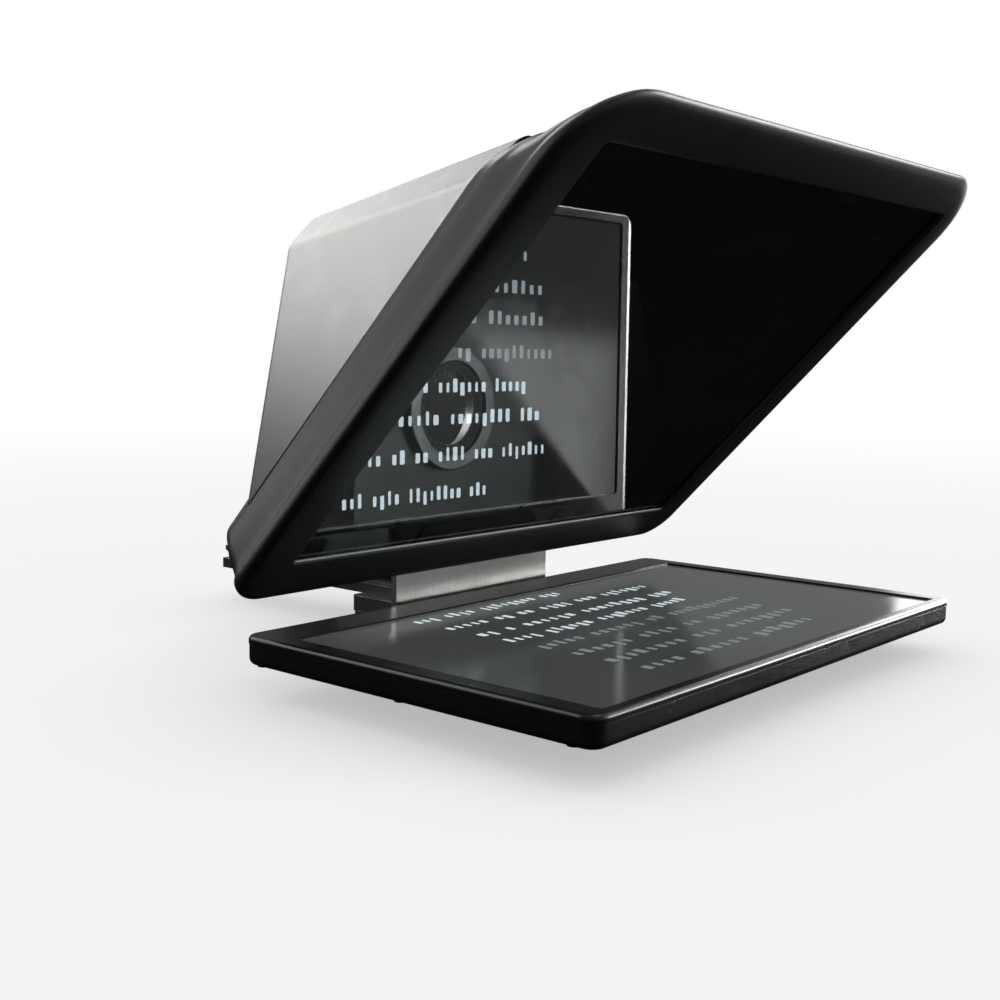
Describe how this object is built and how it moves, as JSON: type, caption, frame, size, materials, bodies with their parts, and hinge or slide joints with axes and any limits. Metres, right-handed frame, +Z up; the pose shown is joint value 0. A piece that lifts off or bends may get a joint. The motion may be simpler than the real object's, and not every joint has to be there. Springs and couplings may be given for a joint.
{
  "type": "teleprompter",
  "caption": "Camera-mounted teleprompter: hooded 45 degree beam-splitter glass over a flat script display, aluminium bracket on a tripod base, camera rail and lens port behind.",
  "frame": {"origin": "centre of the 3/8 inch tripod thread at the base plate's bottom face", "axes": "+X to the right seen from the reader's side, +Y from the reader towards the camera, +Z up"},
  "size_m": [0.3944, 0.4659, 0.2884],
  "materials": {
    "satin_black_plastic": "satin moulded ABS, fine spark texture",
    "hood_plastic": "satin moulded ABS, fine spark texture",
    "clip_plastic": "matt",
    "screen": "anti-glare coated display surface",
    "acrylic": "clear light guide",
    "sheet_metal": "zinc plated sheet",
    "circuit_board": "solder mask",
    "ribbon": "polyimide film",
    "socket_steel": "nickel plated shell",
    "button_plastic": "gloss",
    "brushed_aluminium": "brushed along its width",
    "black_anodised": "bead blasted, black anodised",
    "stainless": "turned",
    "screw_steel": "black oxide",
    "knob_plastic": "glass filled nylon",
    "rubber": "matt",
    "soft_seal": "soft foam rubber",
    "beam_splitter": "part-mirror front, anti-reflection back",
    "ring_aluminium": "grey anodised, turned",
    "magnet": "nickel plated"
  },
  "bodies": {
    "main_frame": {"back_plate_magnets": "magnet", "backlight_tray": "sheet_metal", "base_plate": "black_anodised", "beam_splitter_glass": "beam_splitter", "board_spacers": "clip_plastic", "bracket_base_screws": "screw_steel", "bracket_display_screws": "screw_steel", "bracket_hood_screws": "screw_steel", "button_board": "circuit_board", "button_switches": "clip_plastic", "camera_rail": "black_anodised", "controller_board": "circuit_board", "display_bezel": "satin_black_plastic", "display_rear_cover": "satin_black_plastic", "display_screws": "screw_steel", "glass_clip_screws": "screw_steel", "glass_clips": "clip_plastic", "glass_gasket": "rubber", "hood_rim": "hood_plastic", "hood_screws": "screw_steel", "hood_shell": "hood_plastic", "lcd_panel": "screen", "light_guide": "acrylic", "panel_ribbon_cable": "ribbon", "rail_pedestal": "black_anodised", "rail_screws": "screw_steel", "rail_stop_pins": "stainless", "support_bracket": "brushed_aluminium", "tripod_insert_3_8": "stainless", "tripod_inserts_1_4": "stainless", "usb_c_socket": "socket_steel", "video_socket": "socket_steel"},
    "carriage": {"carriage": "black_anodised", "riser_upright": "black_anodised", "riser_screws": "screw_steel", "jaw_guide_pins": "stainless"},
    "clamp_jaw": {"clamp_jaw": "black_anodised"},
    "clamp_knob": {"clamp_knob": "knob_plastic", "clamp_stud": "stainless"},
    "riser_knob": {"riser_knob": "knob_plastic", "riser_stud": "stainless"},
    "camera_platform": {"camera_platform": "black_anodised", "platform_pad": "rubber"},
    "slot_washer": {"screw_slot_washer": "clip_plastic"},
    "camera_screw": {"camera_screw": "stainless"},
    "camera_screw_bail": {"camera_screw_bail": "stainless"},
    "back_plate": {"back_plate": "hood_plastic", "back_plate_keepers": "stainless"},
    "lens_ring": {"lens_ring": "ring_aluminium", "lens_ring_retainer": "ring_aluminium", "lens_light_seal": "soft_seal"},
    "power_button": {"power_button": "button_plastic"},
    "menu_up_button": {"menu_up_button": "button_plastic"},
    "menu_down_button": {"menu_down_button": "button_plastic"}
  },
  "joints": [
    {"name": "carriage_slide", "type": "slide", "parent": "main_frame", "child": "carriage", "axis": [0, 1, 0], "range_m": [-0.0349, 0.0549]},
    {"name": "clamp_jaw_travel", "type": "slide", "parent": "carriage", "child": "clamp_jaw", "axis": [1, 0, 0], "range_m": [0, 0.00101]},
    {"name": "clamp_knob_turn", "type": "hinge", "parent": "clamp_jaw", "child": "clamp_knob", "pos_m": [0.0382, 0.2, 0.0456], "axis": [1, 0, 0], "range_deg": [0, 360]},
    {"name": "riser_knob_turn", "type": "hinge", "parent": "carriage", "child": "riser_knob", "pos_m": [0, 0.25, 0.074], "axis": [0, 1, 0], "range_deg": [0, 360]},
    {"name": "riser_height", "type": "slide", "parent": "carriage", "child": "camera_platform", "axis": [0, 0, 1], "range_m": [-0.004, 0.016]},
    {"name": "screw_slot_travel", "type": "slide", "parent": "camera_platform", "child": "slot_washer", "axis": [0, 1, 0], "range_m": [-0.0145, 0.0105]},
    {"name": "camera_screw_spin", "type": "hinge", "parent": "slot_washer", "child": "camera_screw", "pos_m": [0, 0.2, 0.087], "axis": [0, 0, 1], "continuous": true},
    {"name": "camera_screw_bail_fold", "type": "hinge", "parent": "camera_screw", "child": "camera_screw_bail", "pos_m": [0, 0.2, 0.0871], "axis": [1, 0, 0], "range_deg": [0, 90]},
    {"name": "back_plate_removal", "type": "slide", "parent": "main_frame", "child": "back_plate", "axis": [0, 1, 0], "range_m": [0, 0.022]},
    {"name": "lens_ring_turn", "type": "hinge", "parent": "back_plate", "child": "lens_ring", "pos_m": [0, 0.095, 0.147], "axis": [0, 1, 0], "continuous": true},
    {"name": "power_button_press", "type": "slide", "parent": "main_frame", "child": "power_button", "axis": [-1, 0, 0], "range_m": [0, 0.0006], "stiffness_N_per_m": 400},
    {"name": "menu_up_press", "type": "slide", "parent": "main_frame", "child": "menu_up_button", "axis": [-1, 0, 0], "range_m": [0, 0.0006], "stiffness_N_per_m": 400},
    {"name": "menu_down_press", "type": "slide", "parent": "main_frame", "child": "menu_down_button", "axis": [-1, 0, 0], "range_m": [0, 0.0006], "stiffness_N_per_m": 400}
  ],
  "couplings": [
    {"joint": "clamp_jaw_travel", "follows": "clamp_knob_turn", "m_per_rad": 0.00015915}
  ]
}
